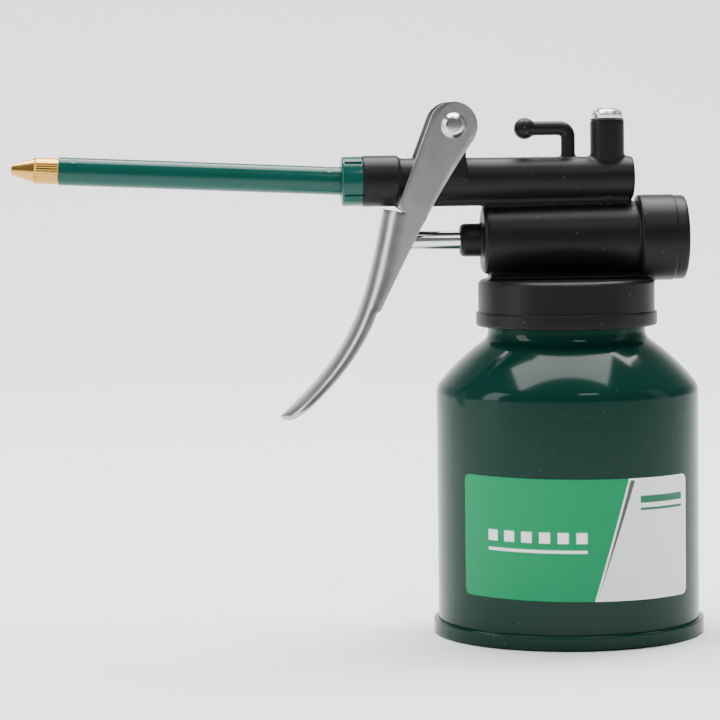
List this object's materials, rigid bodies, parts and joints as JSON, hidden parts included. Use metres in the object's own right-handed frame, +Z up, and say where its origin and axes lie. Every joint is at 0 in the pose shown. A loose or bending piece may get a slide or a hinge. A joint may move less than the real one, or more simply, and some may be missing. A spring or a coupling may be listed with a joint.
{
  "type": "oiler can",
  "caption": "Trigger-pump oiler can: steel can with a screw-on pump head, a pressed steel trigger, a hanging hook, a rigid spout and a knurled brass nozzle.",
  "frame": {"origin": "centre of the can's base, on the plane that it rests on", "axes": "+Z up along the can's axis; the spout points along -X and the rear plug along +X; +Y away from the label"},
  "size_m": [0.1959, 0.0776, 0.1519],
  "materials": {
    "can_enamel": "gloss stoved enamel",
    "label_print": "printed film, semi-gloss",
    "black_plastic": "moulded, satin",
    "spout_plastic": "moulded, gloss",
    "brass": "turned",
    "zinc_steel": "zinc plated",
    "zinc_trigger": "zinc plated, pressed",
    "zinc_rivet": "zinc plated, domed",
    "zinc_screw": "zinc plated, bright",
    "chrome_steel": "bright",
    "spring_steel": "drawn wire",
    "rubber": "moulded",
    "tube_plastic": "translucent"
  },
  "bodies": {
    "can": {"can_shell": "can_enamel", "can_base": "can_enamel", "front_label": "label_print"},
    "gasket": {"neck_gasket": "rubber"},
    "head": {"pump_head": "black_plastic", "rod_seal": "rubber", "seal_washer": "zinc_steel", "return_spring": "spring_steel", "rear_plug": "black_plastic", "rear_plug_seal": "rubber", "inlet_seat": "brass", "dip_tube": "tube_plastic", "outlet_spring": "spring_steel", "outlet_screw": "zinc_screw", "outlet_washer": "rubber", "trigger_rivet": "zinc_rivet"},
    "trigger": {"trigger": "zinc_trigger"},
    "plunger": {"plunger_rod": "chrome_steel", "piston": "black_plastic", "piston_seal": "rubber", "piston_nut": "zinc_steel"},
    "inlet_valve": {"inlet_ball": "chrome_steel"},
    "outlet_valve": {"outlet_ball": "chrome_steel"},
    "spout": {"spout_tube": "spout_plastic", "spout_seal": "rubber", "nozzle_tip": "brass"},
    "nut": {"spout_nut": "spout_plastic"}
  },
  "joints": [
    {"name": "head_lift", "type": "slide", "parent": "can", "child": "gasket", "axis": [0, 0, 1], "range_m": [0, 0.00701]},
    {"name": "head_unscrew", "type": "hinge", "parent": "gasket", "child": "head", "pos_m": [0, 0, 0.0988], "axis": [0, 0, 1], "range_deg": [0, 720]},
    {"name": "trigger_pull", "type": "hinge", "parent": "head", "child": "trigger", "pos_m": [-0.03255, 0, 0.14515], "axis": [0, -1, 0], "range_deg": [0, 20]},
    {"name": "plunger_stroke", "type": "slide", "parent": "head", "child": "plunger", "axis": [1, 0, 0], "range_m": [0, 0.01186], "stiffness_N_per_m": 800, "springref_m": -0.012, "deforming": ["return_spring"]},
    {"name": "inlet_ball_lift", "type": "slide", "parent": "head", "child": "inlet_valve", "axis": [0, 0, 1], "range_m": [0, 0.0015]},
    {"name": "outlet_ball_lift", "type": "slide", "parent": "head", "child": "outlet_valve", "axis": [0, 0, 1], "range_m": [0, 0.0012], "stiffness_N_per_m": 100, "springref_m": -0.002, "deforming": ["outlet_spring"]},
    {"name": "spout_draw", "type": "slide", "parent": "head", "child": "spout", "axis": [-1, 0, 0], "range_m": [0, 0.003]},
    {"name": "nut_unscrew", "type": "hinge", "parent": "spout", "child": "nut", "pos_m": [-0.0611, 0, 0.12975], "axis": [-1, 0, 0], "range_deg": [0, 720]}
  ],
  "couplings": [
    {"joint": "head_lift", "follows": "head_unscrew", "m_per_rad": 0.00055704},
    {"joint": "trigger_pull", "follows": "plunger_stroke", "rad_per_m": 29.412},
    {"joint": "nut_unscrew", "follows": "spout_draw", "rad_per_m": 4188.6}
  ]
}
